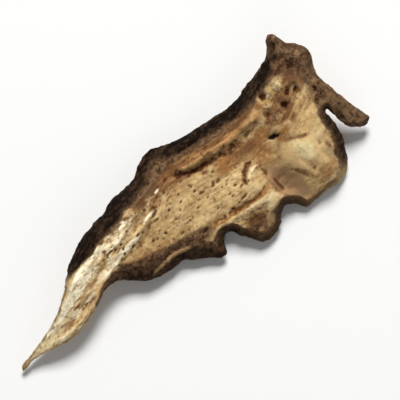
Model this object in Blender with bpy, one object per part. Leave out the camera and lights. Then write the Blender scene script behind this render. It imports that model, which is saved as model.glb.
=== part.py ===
"""A lengthwise slice of dried dong quai root, modelled as one closed solid.

The slice is a warped slab. It has a knife-cut face above, a second one below, and a wall of
bark between them. Both faces are height fields over one outline, which runs round the slice
as seen from above. +X points to the crown and +Z points up. The origin is on the ground,
under the middle of the slice's box.
"""
import math

import bpy
import bmesh
import numpy as np
from mathutils import Vector, noise
from mathutils.geometry import delaunay_2d_cdt

# Driving dimensions, in millimetres
MM = 0.001
LENGTH = 62.0
RIM_SPACING = 0.85
FACE_SPACING = 0.75
UNDER_SPACING = 1.35
WALL_STEPS = (0.12, 0.45, 1.0)
WALL_POWER = 0.6
BLEND_LENGTH = 1.6
WRINKLE_HEIGHT = 0.16
WRINKLE_SCALE = (0.16, 0.75)
WRINKLE_SEED = 2.0
UNDER_SHIFT = 40.0
STROKE_TAPER = 3.5
STROKE_END = 0.1
STROKE_ROWS = 1.3
RIM_CLEARANCE = 0.5
ROW_CLEARANCE = 0.45
WALL_CLEARANCE = 0.9
TINY = 1e-9
MERGE_DISTANCE = 1e-5
INSIDE_TRIANGLES = 1
SHARP_ANGLE = 34.0

# The outline in stretches, anticlockwise from the tail's tip. Each has a name, how high its
# rim lies between the faces (0 at the lower, 1 at the upper), the widths of the bark wall
# above and below the rim, and its points, measured from a mark on the body's middle.
OUTLINE = [
    ("lower edge of the tail", 0.80, 0.4, 1.6,
     [(-34.5, 2.3), (-32.0, 2.1), (-30.3, 1.5), (-28.6, 0.8), (-26.2, -0.1), (-23.0, -0.3),
      (-20.0, 0.2), (-17.6, 0.8)]),
    ("lower bark flank", 0.30, 2.9, 1.0,
     [(-15.6, 0.1), (-14.2, -1.4), (-13.0, -3.0), (-11.2, -4.0), (-9.2, -4.7), (-7.4, -5.1),
      (-6.4, -6.2), (-5.0, -7.5), (-3.9, -8.8), (-2.7, -9.2)]),
    ("notch in the flank", 0.45, 1.2, 0.9,
     [(-1.8, -8.3), (-0.9, -7.3), (0.1, -7.6), (0.6, -9.1)]),
    ("lower lobe", 0.45, 1.3, 1.0,
     [(1.3, -10.6), (1.9, -12.0), (3.5, -12.7), (5.5, -12.4), (6.8, -11.5), (8.1, -11.2),
      (9.1, -12.2)]),
    ("foot of the fold", 0.50, 0.9, 0.9,
     [(9.8, -13.7), (11.6, -14.1), (13.4, -14.3)]),
    ("foot of the bulge", 0.40, 1.4, 1.1, [(15.3, -15.0), (17.0, -15.0)]),
    ("rim of the bulge", 0.35, 1.8, 1.1,
     [(18.5, -14.2), (19.9, -12.6), (21.0, -11.0), (21.6, -9.4), (21.8, -7.9)]),
    ("cleft beside the side strip", 0.55, 0.5, 0.5,
     [(21.9, -7.0), (22.2, -6.8), (22.4, -7.7), (22.3, -9.4)]),
    ("side strip", 0.50, 0.7, 1.1,
     [(22.4, -10.8), (23.2, -11.9), (24.6, -12.6), (25.6, -12.3), (25.4, -11.0),
      (25.2, -8.0), (25.1, -5.0), (25.2, -2.6)]),
    ("crown", 0.50, 1.5, 1.3,
     [(25.7, -1.5), (26.5, -0.5), (27.0, 0.7), (26.9, 2.0), (26.4, 3.0), (25.8, 3.8),
      (25.6, 4.8), (25.6, 5.8), (24.8, 6.5), (23.8, 5.9), (22.7, 4.8)]),
    ("upper bark wall beside the crown", 0.35, 2.3, 0.9,
     [(21.2, 4.4), (17.5, 4.2), (14.3, 4.1), (12.2, 4.5), (9.2, 5.5), (6.2, 6.5),
      (4.0, 7.5)]),
    ("shoulder of the upper wall", 0.35, 2.5, 1.0,
     [(2.2, 8.6), (0.6, 9.1), (-1.2, 8.7), (-3.0, 8.1)]),
    ("upper bark wall of the body", 0.25, 2.8, 1.0,
     [(-5.2, 8.2), (-7.4, 8.4), (-10.5, 8.2), (-14.0, 8.2), (-17.0, 7.6)]),
    ("upper edge of the tail", 0.60, 0.5, 0.8,
     [(-19.4, 6.6), (-21.6, 5.4), (-23.9, 4.3), (-26.5, 3.6), (-29.5, 3.2), (-32.2, 3.1),
      (-34.0, 3.1)]),
]

# Heights of the upper cut face: x, y, z
FACE_HEIGHTS = [
    (-34.5, 2.7, 1.6), (-30.0, 2.2, 3.0), (-25.0, 1.6, 4.6), (-20.0, 2.8, 6.0),
    (-16.0, 4.4, 7.0), (-11.0, 5.0, 7.2), (-5.0, 5.4, 6.6), (-12.0, 0.8, 5.0),
    (-8.0, -1.2, 4.5), (-3.0, -2.6, 4.4), (0.0, 7.4, 4.9), (2.0, 1.0, 5.0),
    (4.0, -3.5, 4.9), (7.4, -6.0, 5.6), (6.0, 5.2, 5.2), (8.0, 3.0, 6.0), (13.0, 3.2, 5.6),
    (14.0, 1.4, 6.5), (19.0, 1.5, 7.8), (24.0, 4.2, 9.2), (26.0, 0.8, 9.3),
    (23.0, -1.5, 9.0), (10.0, -0.8, 5.0), (14.0, -2.8, 6.0), (16.6, -6.2, 9.0),
    (20.5, -6.0, 8.5), (19.4, -10.0, 6.6), (15.8, -12.5, 4.8), (13.2, -8.0, 6.4),
    (11.0, -8.0, 4.6), (11.3, -13.0, 2.9), (8.2, -9.0, 5.0), (4.0, -8.0, 4.6),
    (3.5, -12.0, 2.7), (-4.0, -6.5, 3.7), (-11.0, -3.2, 4.0),
    (24.0, -5.0, 7.4), (24.0, -9.0, 5.2), (24.6, -12.0, 3.4),
]

# Heights of the lower cut face. What falls below the ground is cut flat there.
UNDER_HEIGHTS = [
    (-34.5, 2.7, 0.0), (-28.0, 1.8, 1.3), (-21.0, 2.5, 2.7), (-15.0, 3.5, 2.5),
    (-9.0, 2.5, 0.8), (-7.0, 5.5, 1.4), (-4.0, -1.0, -0.4), (1.0, 2.5, -0.6),
    (1.0, -3.5, -0.3), (5.5, 0.0, -0.3), (2.0, 6.5, 0.8), (9.0, 2.5, 0.8), (9.0, -3.0, 0.5),
    (14.0, 0.5, 1.9), (19.5, 0.8, 3.2), (25.0, 3.0, 4.7), (26.0, -0.5, 4.7),
    (17.0, -6.0, 4.9), (21.0, -8.0, 3.6), (16.0, -13.0, -0.2), (11.0, -7.5, 0.7),
    (11.0, -12.5, 0.0), (3.0, -11.0, 0.5), (-4.0, -6.5, 0.7), (-11.0, -2.6, 1.3),
    (24.0, -5.0, 5.0), (24.0, -9.0, 3.1), (24.6, -12.0, 1.5),
]

# Ridges and grooves of the upper face: points along the line, half width at its start and at
# its end, what the half width is multiplied by on the line's right side, height
STROKES = [
    # Ridge that runs beside the upper bark, and the groove below it
    ([(1.6, 4.4), (3.0, 3.5), (5.0, 2.8), (7.5, 2.1), (10.0, 1.4), (13.0, 0.8), (16.5, 0.0)],
     1.00, 1.10, 0.6, 0.85),
    ([(0.4, 4.2), (1.6, 3.2), (3.0, 2.3), (5.0, 1.5), (7.0, 0.8), (9.0, 0.2), (11.5, -0.1),
      (14.5, -0.7)], 0.40, 0.75, 1.4, -0.45),
    # Raised face of the tail's root, and the crease where it turns down to the body's face
    ([(-18.0, 3.7), (-12.0, 4.0), (-8.0, 4.4), (-3.5, 5.1)], 1.30, 1.20, 0.8, 0.50),
    ([(-14.5, 1.9), (-10.0, 2.3), (-6.0, 3.0), (-2.0, 4.4)], 0.70, 0.50, 1.4, -0.50),
    # Raised upper and lower edges of the tail
    ([(-28.0, 2.3), (-22.0, 4.2), (-18.0, 5.3), (-13.0, 5.6), (-8.0, 5.4)], 0.70, 0.70, 1.0, 0.35),
    ([(-30.0, 1.8), (-26.0, 0.6), (-23.0, 0.4), (-19.0, 1.0)], 0.50, 0.50, 1.0, 0.25),
    # Hook where the body's face ends at the fold, and the lip under it
    ([(6.5, -5.6), (7.0, -4.2), (7.8, -3.5), (8.8, -3.2), (10.4, -3.5)], 0.35, 0.35, 0.7, -0.22),
    ([(7.7, -4.6), (8.8, -4.1), (10.1, -4.4)], 0.45, 0.45, 1.3, 0.40),
    # Fold between the body and the bulge: crisp on the body's side, open on the bulge's
    ([(10.0, -4.0), (9.9, -6.5), (9.9, -9.5), (10.1, -14.6)], 0.70, 2.80, 0.40, -0.85),
    ([(11.0, -5.6), (12.2, -7.6), (12.9, -9.3), (13.3, -11.2), (13.7, -13.0)],
     0.45, 0.45, 1.0, -0.20),
    # Line inside the body's lower edge, and the strip that stands out below it
    ([(-3.0, -4.3), (0.5, -5.3), (3.0, -6.2), (5.5, -7.0), (9.0, -7.3)], 0.35, 0.45, 1.0, -0.30),
    ([(0.0, -6.2), (3.0, -7.2), (6.0, -8.1), (9.0, -8.4)], 0.60, 0.60, 1.0, 0.25),
    # Streak that stands out of the lower bark
    ([(-12.2, -3.1), (-8.0, -3.4), (-6.0, -4.2), (-4.4, -5.0)], 0.60, 0.60, 1.0, 0.50),
    # Slit, fine crease and outer groove of the bulge
    ([(13.6, -3.1), (15.2, -3.9)], 0.40, 0.40, 1.0, -0.80),
    ([(14.0, -4.6), (15.5, -5.3), (17.5, -6.9)], 0.40, 0.40, 1.0, -0.30),
    ([(20.4, -8.6), (19.6, -10.2), (19.0, -11.9)], 0.45, 0.45, 1.0, -0.50),
    # Furrows that fan out down the bulge
    ([(14.6, -7.0), (14.7, -9.5), (15.0, -12.6)], 0.50, 0.60, 1.0, -0.25),
    ([(18.4, -7.6), (17.6, -10.0), (16.9, -13.0)], 0.50, 0.60, 1.0, -0.30),
]

# Lumps (height above 0) and pits (below 0) of the upper face: x, y, radius, height
LUMPS = [
    (24.6, 5.2, 1.1, 0.7), (25.7, 1.8, 1.5, 0.6), (25.2, -0.8, 1.2, 0.4),
    (23.4, 3.8, 0.7, -1.3), (22.1, 3.4, 0.8, -0.7),
    (17.7, 1.3, 0.7, -0.9), (16.2, -0.7, 0.6, -0.5), (18.8, -1.8, 0.6, -0.4),
    (20.5, -0.9, 0.6, -0.5), (21.6, -1.7, 0.6, -0.5), (23.6, 1.2, 0.6, -0.5),
    (23.6, -3.4, 0.6, -0.4), (22.2, -4.8, 0.6, -0.5),
    (18.6, 1.6, 0.6, 0.35), (20.3, 1.2, 0.7, 0.35), (17.0, 0.0, 0.6, 0.30),
    (22.1, -0.4, 0.7, 0.35), (19.8, -1.5, 0.6, 0.30), (22.8, -2.6, 0.7, 0.30),
]

BARK_COLOR = (0.20, 0.135, 0.085, 1.0)
BARK_ROUGHNESS = 0.85


def closed_curve(points, spacing):
    """A smooth closed curve through the points, and the index of each sample's point."""
    points = np.array(points, dtype=float)
    samples = []
    owners = []
    for i in range(len(points)):
        p0, p1, p2, p3 = (points[(i + k) % len(points)] for k in (-1, 0, 1, 2))
        gaps = [math.sqrt(math.dist(a, b)) for a, b in ((p0, p1), (p1, p2), (p2, p3))]
        knots = np.cumsum([0.0] + gaps)
        steps = max(1, round(math.dist(p1, p2) / spacing))
        for step in range(steps):
            t = knots[1] + (knots[2] - knots[1]) * step / steps
            a1 = mix(p0, p1, knots[0], knots[1], t)
            a2 = mix(p1, p2, knots[1], knots[2], t)
            a3 = mix(p2, p3, knots[2], knots[3], t)
            b1 = mix(a1, a2, knots[0], knots[2], t)
            b2 = mix(a2, a3, knots[1], knots[3], t)
            samples.append(mix(b1, b2, knots[1], knots[2], t))
            owners.append(i)
    return np.array(samples), np.array(owners)


def mix(start, end, t_start, t_end, t):
    """The point between two others at the knot value t."""
    share = (t - t_start) / (t_end - t_start)
    return start * (1.0 - share) + end * share


def smooth_along(values, reach):
    """Averages values round a closed line over a number of neighbours each way."""
    return sum(np.roll(values, k, axis=0) for k in range(-reach, reach + 1)) / (2 * reach + 1)


def spline_surface(spots):
    """A thin-plate surface through height spots, as a function of an array of points."""
    spots = np.array(spots, dtype=float)
    places = spots[:, :2]
    count = len(spots)

    def kernel(points):
        squared = ((points[:, None, :] - places[None, :, :]) ** 2).sum(axis=2)
        return squared * np.log(squared + TINY)

    system = np.zeros((count + 3, count + 3))
    system[:count, :count] = kernel(places)
    system[:count, count:] = np.column_stack([np.ones(count), places])
    system[count:, :count] = system[:count, count:].T
    weights = np.linalg.solve(system, np.append(spots[:, 2], np.zeros(3)))

    def height(points):
        plane = weights[count] + points @ weights[count + 1:]
        return kernel(points) @ weights[:count] + plane

    return height


def stroke_height(points, line, start_width, end_width, right_share, height):
    """Height that a ridge or groove adds. It fades out over its ends."""
    line = np.array(line)
    lengths = np.linalg.norm(np.diff(line, axis=0), axis=1)
    starts = np.concatenate([[0.0], np.cumsum(lengths)])
    nearest = np.full(len(points), np.inf)
    along = np.zeros(len(points))
    on_right = np.zeros(len(points), dtype=bool)
    for a, b, length, start in zip(line[:-1], line[1:], lengths, starts):
        share = np.clip((points - a) @ (b - a) / length ** 2, 0.0, 1.0)
        away = points - a - share[:, None] * (b - a)
        distance = np.linalg.norm(away, axis=1)
        closer = distance < nearest
        rightward = np.array([b[1] - a[1], a[0] - b[0]])
        nearest = np.where(closer, distance, nearest)
        along = np.where(closer, start + share * length, along)
        on_right = np.where(closer, away @ rightward > 0.0, on_right)
    half_width = start_width + (end_width - start_width) * along / starts[-1]
    to_end = np.minimum(along, starts[-1] - along) / half_width
    fade = np.clip(to_end / STROKE_TAPER + STROKE_END, 0.0, 1.0)
    half_width = np.where(on_right, right_share * half_width, half_width)
    return height * fade * np.exp(-(nearest / half_width) ** 2)


def lump_height(points, x, y, radius, height):
    """Height that a round lump or pit adds."""
    squared = ((points - (x, y)) ** 2).sum(axis=1)
    return height * np.exp(-squared / radius ** 2)


def wrinkles(points):
    """Shallow drying wrinkles that run along the root."""
    stretched = points * WRINKLE_SCALE
    return np.array([WRINKLE_HEIGHT * noise.noise(Vector((x, y, WRINKLE_SEED)))
                     for x, y in stretched])


class Slice:
    """The outline, the two faces and the bark wall, in millimetres."""

    def __init__(self):
        raw_points = [point for stretch in OUTLINE for point in stretch[4]]
        walls = [stretch[1:4] for stretch in OUTLINE for _ in stretch[4]]
        self.rim, owners = closed_curve(raw_points, RIM_SPACING)
        low = self.rim.min(axis=0)
        high = self.rim.max(axis=0)
        self.middle = (low + high) / 2.0
        self.scale = LENGTH / (high[0] - low[0])
        self.upper_surface = spline_surface(FACE_HEIGHTS)
        self.under_surface = spline_surface(UNDER_HEIGHTS)
        values = smooth_along(np.array(walls)[owners], round(BLEND_LENGTH / RIM_SPACING))
        self.upper_width = values[:, 1]
        self.under_width = values[:, 2]
        thickness = self.face(self.rim) - self.under_face(self.rim)
        self.drop = (1.0 - values[:, 0]) * thickness
        self.lift = values[:, 0] * thickness

    def face(self, points):
        """The upper cut face with its ridges, grooves, lumps and pits."""
        height = self.upper_surface(points) + wrinkles(points)
        for line, start_width, end_width, right_share, depth in STROKES:
            height += stroke_height(points, line, start_width, end_width, right_share, depth)
        for x, y, radius, lump in LUMPS:
            height += lump_height(points, x, y, radius, lump)
        return height

    def under_face(self, points):
        """The lower cut face before it is cut flat at the ground."""
        return self.under_surface(points) + wrinkles(points + UNDER_SHIFT)

    def wall(self, points, depth, width):
        """How far the bark wall takes a face away at each point: most at the rim."""
        away = np.linalg.norm(points[:, None, :] - self.rim[None, :, :], axis=2)
        share = np.clip(away / width, 0.0, 1.0)
        return (depth * (1.0 - share ** WALL_POWER)).max(axis=1)

    def upper(self, points):
        """Height of the upper side, with its bark wall."""
        return self.face(points) - self.wall(points, self.drop, self.upper_width)

    def under(self, points):
        """Height of the lower side, with its bark wall, cut flat at the ground."""
        height = self.under_face(points) + self.wall(points, self.lift, self.under_width)
        return np.maximum(height, 0.0)

    def rim_height(self):
        """Height of each point of the rim, where the two sides meet."""
        return np.maximum(self.under_face(self.rim) + self.lift, 0.0)


def wall_points(shape, widths):
    """Rows of points along the wall, so that its crest and its foot come out clean."""
    tangent = np.roll(shape.rim, -1, axis=0) - np.roll(shape.rim, 1, axis=0)
    inward = np.column_stack([-tangent[:, 1], tangent[:, 0]])
    inward /= np.linalg.norm(inward, axis=1)[:, None]
    rows = []
    for step in WALL_STEPS:
        row = shape.rim + inward * (widths * step)[:, None]
        away = np.linalg.norm(row[:, None, :] - shape.rim[None, :, :], axis=2).min(axis=1)
        rows.append(row[away > WALL_CLEARANCE * widths * step])
    return np.concatenate(rows)


def stroke_points(spacing):
    """Points along the middle and the sides of every stroke."""
    rows = []
    for line, start_width, end_width, right_share, _ in STROKES:
        line = np.array(line)
        half_width = (start_width + end_width) / 2.0
        for a, b in zip(line[:-1], line[1:]):
            length = math.dist(a, b)
            left = STROKE_ROWS * half_width * np.array([a[1] - b[1], b[0] - a[0]]) / length
            for share in np.arange(0.0, 1.0, spacing / length):
                middle = a + share * (b - a)
                rows += [middle - right_share * left, middle, middle + left]
    return np.array(rows)


def grid_points(low, high, spacing):
    """Points on a triangular grid over a box."""
    rows = np.arange(low[1], high[1], spacing * math.sqrt(0.75))
    columns = np.arange(low[0], high[0], spacing)
    return np.array([(x + spacing / 2 * (j % 2), y) for j, y in enumerate(rows) for x in columns])


def inside(points, rim):
    """Which points lie inside the closed rim."""
    x, y = points[:, 0], points[:, 1]
    crossings = np.zeros(len(points), dtype=bool)
    for (x1, y1), (x2, y2) in zip(rim, np.roll(rim, -1, axis=0)):
        spans = (y1 > y) != (y2 > y)
        height = y2 - y1 if y2 != y1 else 1.0
        crossings ^= spans & (x < x1 + (x2 - x1) * (y - y1) / height)
    return crossings


def sheet(shape, widths, spacing, lines):
    """A flat triangle mesh of the outline: its points and its triangles, rim points first."""
    rows = np.concatenate([wall_points(shape, widths), lines])
    grid = grid_points(shape.rim.min(axis=0), shape.rim.max(axis=0), spacing)
    away = np.linalg.norm(grid[:, None, :] - shape.rim[None, :, :], axis=2)
    grid = grid[(away > RIM_CLEARANCE * spacing).all(axis=1)]
    clear = np.linalg.norm(grid[:, None, :] - rows[None, :, :], axis=2).min(axis=1)
    loose = np.concatenate([rows, grid[clear > ROW_CLEARANCE * spacing]])
    loose = loose[inside(loose, shape.rim)]
    count = len(shape.rim)
    flat = [Vector(point) for point in np.concatenate([shape.rim, loose])]
    edges = [(i, (i + 1) % count) for i in range(count)]
    _, _, faces, origins, _, _ = delaunay_2d_cdt(flat, edges, [], INSIDE_TRIANGLES, MERGE_DISTANCE)
    triangles = [[origins[index][0] for index in face] for face in faces]
    return np.array([tuple(point) for point in flat]), triangles


def add_side(mesh, rim_verts, shape, points, heights, triangles, facing_up):
    """Adds one side's vertices and triangles. The rim's vertices are shared by both sides."""
    verts = list(rim_verts)
    for (x, y), z in zip(points[len(rim_verts):], heights[len(rim_verts):]):
        verts.append(mesh.verts.new(place(shape, x, y, z)))
    for triangle in triangles:
        corners = triangle if facing_up else triangle[::-1]
        mesh.faces.new([verts[index] for index in corners])


def place(shape, x, y, z):
    """Moves a point from the outline's own millimetres to the part's frame, in metres."""
    scale = shape.scale * MM
    return Vector(((x - shape.middle[0]) * scale, (y - shape.middle[1]) * scale, z * scale))


def bark_material():
    """One plain colour between the bark and the cut faces."""
    material = bpy.data.materials.new("root")
    material.use_nodes = True
    shader = material.node_tree.nodes["Principled BSDF"]
    shader.inputs["Base Color"].default_value = BARK_COLOR
    shader.inputs["Roughness"].default_value = BARK_ROUGHNESS
    shader.inputs["Metallic"].default_value = 0.0
    return material


def root_slice():
    """The whole slice as one closed mesh."""
    shape = Slice()
    lines = stroke_points(FACE_SPACING)
    upper_points, upper_triangles = sheet(shape, shape.upper_width, FACE_SPACING, lines)
    under_points, under_triangles = sheet(shape, shape.under_width, UNDER_SPACING, lines[:0])
    mesh = bmesh.new()
    rim_verts = [mesh.verts.new(place(shape, x, y, z))
                 for (x, y), z in zip(shape.rim, shape.rim_height())]
    add_side(mesh, rim_verts, shape, upper_points, shape.upper(upper_points),
             upper_triangles, True)
    add_side(mesh, rim_verts, shape, under_points, shape.under(under_points),
             under_triangles, False)
    data = bpy.data.meshes.new("root_slice")
    mesh.to_mesh(data)
    mesh.free()
    data.materials.append(bark_material())
    data.shade_smooth()
    data.set_sharp_from_angle(angle=math.radians(SHARP_ANGLE))
    part = bpy.data.objects.new("root_slice", data)
    bpy.context.scene.collection.objects.link(part)
    return part


def main():
    for old in list(bpy.data.objects):
        bpy.data.objects.remove(old, do_unlink=True)
    root_slice()


main()
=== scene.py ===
"""The looks of a dried dong quai root slice: its fine surface, colours, light and camera."""

import math

import bpy
import numpy as np
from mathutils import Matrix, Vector, noise
from mathutils.geometry import delaunay_2d_cdt


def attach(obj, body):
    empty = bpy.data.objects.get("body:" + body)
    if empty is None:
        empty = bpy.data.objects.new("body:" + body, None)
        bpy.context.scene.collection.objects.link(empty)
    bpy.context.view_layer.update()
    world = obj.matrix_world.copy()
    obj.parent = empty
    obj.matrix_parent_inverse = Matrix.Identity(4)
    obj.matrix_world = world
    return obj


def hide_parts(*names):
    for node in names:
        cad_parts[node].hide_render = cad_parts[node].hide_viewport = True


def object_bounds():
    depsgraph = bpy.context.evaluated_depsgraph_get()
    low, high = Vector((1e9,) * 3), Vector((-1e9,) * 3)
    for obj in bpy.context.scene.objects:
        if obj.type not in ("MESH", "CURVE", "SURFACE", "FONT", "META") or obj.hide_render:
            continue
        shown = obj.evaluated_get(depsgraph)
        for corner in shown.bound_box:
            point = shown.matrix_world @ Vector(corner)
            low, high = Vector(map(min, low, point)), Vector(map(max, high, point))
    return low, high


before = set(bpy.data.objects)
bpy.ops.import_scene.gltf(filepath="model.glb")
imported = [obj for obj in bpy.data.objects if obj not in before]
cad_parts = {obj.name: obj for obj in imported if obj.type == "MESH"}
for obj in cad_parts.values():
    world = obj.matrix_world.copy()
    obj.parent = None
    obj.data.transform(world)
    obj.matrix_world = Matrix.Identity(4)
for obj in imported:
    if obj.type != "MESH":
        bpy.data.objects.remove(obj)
CAD_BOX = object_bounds()

MM = 0.001

# Spacing of the mesh's points, in outline millimetres. The first is the solid's own, from
# which the slice's middle and scale are worked out.
CAD_RIM_SPACING = 0.85
RIM_SPACING = 0.2
FACE_SPACING = 0.17
UNDER_SPACING = 0.24
GRID_CLEARANCE = 0.4
ROW_CLEARANCE = 0.9
CHUNK = 3000

# Bark wall: rows of points at shares of its width, its curve, and the blend along the rim
WALL_STEPS = (0.06, 0.16, 0.3, 0.48, 0.72, 1.0)
WALL_POWER = 0.6
BLEND_LENGTH = 1.6

# Torn rim: scale, seed and height of its noise, and how far it is set in
RIM_TEARS = ((0.55, 7.0, 0.14), (1.9, 8.0, 0.09))
RIM_INSET = 0.04

# Long wrinkles of both cut faces
WRINKLE_HEIGHT = 0.16
WRINKLE_SCALE = (0.16, 0.75)
WRINKLE_SEED = 2.0
UNDER_SHIFT = 40.0

# How far strokes and colours waver, how uneven strokes are, and how they end
STROKE_WANDER = 0.22
PATCH_WANDER = 0.35
LINE_SHARE = 0.4
STROKE_UNEVEN = 0.7
STROKE_TAPER = 3.5
STROKE_END = 0.1

# Where on the wall's width bark and its dark bark with painted shade end, and how torn and uneven the
# bark's end is
BARK_END = (0.8, 1.16)
DARK_BARK_AND_SHADE_END = (0.3, 1.1)
BARK_TORN = 0.22
BARK_UNEVEN = 0.55

# Relief: heights, how much calmer smooth parts are, and how far it is sunk into the surface
FOLD_HEIGHT = 0.07
FOLD_SHARPNESS = 2.2
ROUGH_HEIGHT = 0.1
BARK_SINK = 0.04
FIBRE_HEIGHT = 0.04
UNEVEN_HEIGHT = 0.12
GRAIN_HEIGHT = 0.05
MOTTLE_HEIGHT = 0.2
SMOOTH_CALM = 0.6
FACE_SINK = 0.05
GROUND_FADE = 0.6

# Hollows: rounds of smoothing that find fine and wide ones, and the depths that count as full. The
# material paints shade into these hollows.
HOLLOW_ROUNDS = (8, 90)
FINE_HOLLOW = 0.08
WIDE_HOLLOW = 0.6

# Camera: the photograph's turn against the slice, whose +X points 50 degrees up from the
# picture's right, its height, and the width and the middle of its view in metres
CAMERA_ROLL = -50.0
CAMERA_HEIGHT = 0.6
VIEW_WIDTH = 0.058
VIEW_MIDDLE = (0.00455, 0.00173)
SENSOR_WIDTH = 36.0

# Soft lights: name, direction, distance, size, power
LIGHTS = (("key", (0.5, 0.4, 0.75), 1.2, 0.36, 19.0), ("fill", (-0.4, -0.7, 0.7), 0.7, 0.5, 0.4))
SKY_STRENGTH = 0.24
FLOOR_HALF = 1.5
FLOOR_DROP = 0.0001

# Slice outline in stretches: name, rim height, wall widths above and below, bark, soot, points.
# Bark is how much of the wall's colour is bark, and soot how dark it is, from dark bark and painted
# shade.
OUTLINE = [
    ("lower edge of the tail", 0.8, 0.4, 1.6, 0.35, 0.1,
     [(-34.5, 2.3), (-32, 2.1), (-30.3, 1.5), (-28.6, 0.8), (-26.2, -0.1), (-23, -0.3),
      (-20, 0.2), (-17.6, 0.8)]),
    ("lower bark flank", 0.3, 2.9, 1, 0.9, 0.55,
     [(-15.6, 0.1), (-14.2, -1.4), (-13, -3), (-11.2, -4), (-9.2, -4.7), (-7.4, -5.1),
      (-6.4, -6.2), (-5, -7.5), (-3.9, -8.8), (-2.7, -9.2)]),
    ("notch in the flank", 0.45, 1.2, 0.9, 0.9, 0.55,
     [(-1.8, -8.3), (-0.9, -7.3), (0.1, -7.6), (0.6, -9.1)]),
    ("lower lobe", 0.45, 1.3, 1, 0.75, 0.5,
     [(1.3, -10.6), (1.9, -12), (3.5, -12.7), (5.5, -12.4), (6.8, -11.5), (8.1, -11.2),
      (9.1, -12.2)]),
    ("foot of the fold", 0.5, 0.9, 0.9, 0.6, 0.4,
     [(9.8, -13.7), (11.6, -14.1), (13.4, -14.3)]),
    ("foot of the bulge", 0.4, 1.4, 1.1, 0.4, 0.3, [(15.3, -15), (17, -15)]),
    ("rim of the bulge", 0.35, 1.8, 1.1, 0.8, 0.65,
     [(18.5, -14.2), (19.9, -12.6), (21, -11), (21.6, -9.4), (21.8, -7.9)]),
    ("cleft beside the side strip", 0.55, 0.5, 0.5, 0.8, 0.5,
     [(21.9, -7), (22.2, -6.8), (22.4, -7.7), (22.3, -9.4)]),
    ("side strip", 0.5, 0.7, 1.1, 1, 0.1,
     [(22.4, -10.8), (23.2, -11.9), (24.6, -12.6), (25.6, -12.3), (25.4, -11),
      (25.2, -8), (25.1, -5), (25.2, -2.6)]),
    ("crown", 0.5, 1.5, 1.3, 1, 0.35,
     [(25.7, -1.5), (26.5, -0.5), (27, 0.7), (26.9, 2), (26.4, 3), (25.8, 3.8),
      (25.6, 4.8), (25.6, 5.8), (24.8, 6.5), (23.8, 5.9), (22.7, 4.8)]),
    ("upper bark wall beside the crown", 0.35, 2.3, 0.9, 1, 1.3,
     [(21.2, 4.4), (17.5, 4.2), (14.3, 4.1), (12.2, 4.5), (9.2, 5.5), (6.2, 6.5),
      (4, 7.5)]),
    ("shoulder of the upper wall", 0.35, 2.5, 1, 1, 0.75,
     [(2.2, 8.6), (0.6, 9.1), (-1.2, 8.7), (-3, 8.1)]),
    ("upper bark wall of the body", 0.25, 2.8, 1, 1, 1.5,
     [(-5.2, 8.2), (-7.4, 8.4), (-10.5, 8.2), (-14, 8.2), (-17, 7.6)]),
    ("upper edge of the tail", 0.6, 0.5, 0.8, 0.5, 0.4,
     [(-19.4, 6.6), (-21.6, 5.4), (-23.9, 4.3), (-26.5, 3.6), (-29.5, 3.2), (-32.2, 3.1),
      (-34, 3.1)]),
]

# Heights of the upper cut face: x, y, z
FACE_HEIGHTS = [
    (-34.5, 2.7, 1.6), (-30, 2.2, 3), (-25, 1.6, 4.6), (-20, 2.8, 6),
    (-16, 4.4, 7), (-11, 5, 7.2), (-5, 5.4, 6.6), (-12, 0.8, 5),
    (-8, -1.2, 4.5), (-3, -2.6, 4.4), (0, 7.4, 4.9), (2, 1, 5),
    (4, -3.5, 4.9), (7.4, -6, 5.6), (6, 5.2, 5.2), (8, 3, 6), (13, 3.2, 5.6),
    (14, 1.4, 6.5), (19, 1.5, 7.8), (24, 4.2, 9.2), (26, 0.8, 9.3),
    (23, -1.5, 9), (10, -0.8, 5), (14, -2.8, 6), (16.6, -6.2, 9),
    (20.5, -6, 8.5), (19.4, -10, 6.6), (15.8, -12.5, 4.8), (13.2, -8, 6.4),
    (11, -8, 4.6), (11.3, -13, 2.9), (8.2, -9, 5), (4, -8, 4.6),
    (3.5, -12, 2.7), (-4, -6.5, 3.7), (-11, -3.2, 4),
    (24, -5, 7.4), (24, -9, 5.2), (24.6, -12, 3.4),
]

# Heights of the lower cut face. What falls below the ground is cut flat there.
UNDER_HEIGHTS = [
    (-34.5, 2.7, 0), (-28, 1.8, 1.3), (-21, 2.5, 2.7), (-15, 3.5, 2.5),
    (-9, 2.5, 0.8), (-7, 5.5, 1.4), (-4, -1, -0.4), (1, 2.5, -0.6),
    (1, -3.5, -0.3), (5.5, 0, -0.3), (2, 6.5, 0.8), (9, 2.5, 0.8), (9, -3, 0.5),
    (14, 0.5, 1.9), (19.5, 0.8, 3.2), (25, 3, 4.7), (26, -0.5, 4.7),
    (17, -6, 4.9), (21, -8, 3.6), (16, -13, -0.2), (11, -7.5, 0.7),
    (11, -12.5, 0), (3, -11, 0.5), (-4, -6.5, 0.7), (-11, -2.6, 1.3),
    (24, -5, 5), (24, -9, 3.1), (24.6, -12, 1.5),
]

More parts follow.
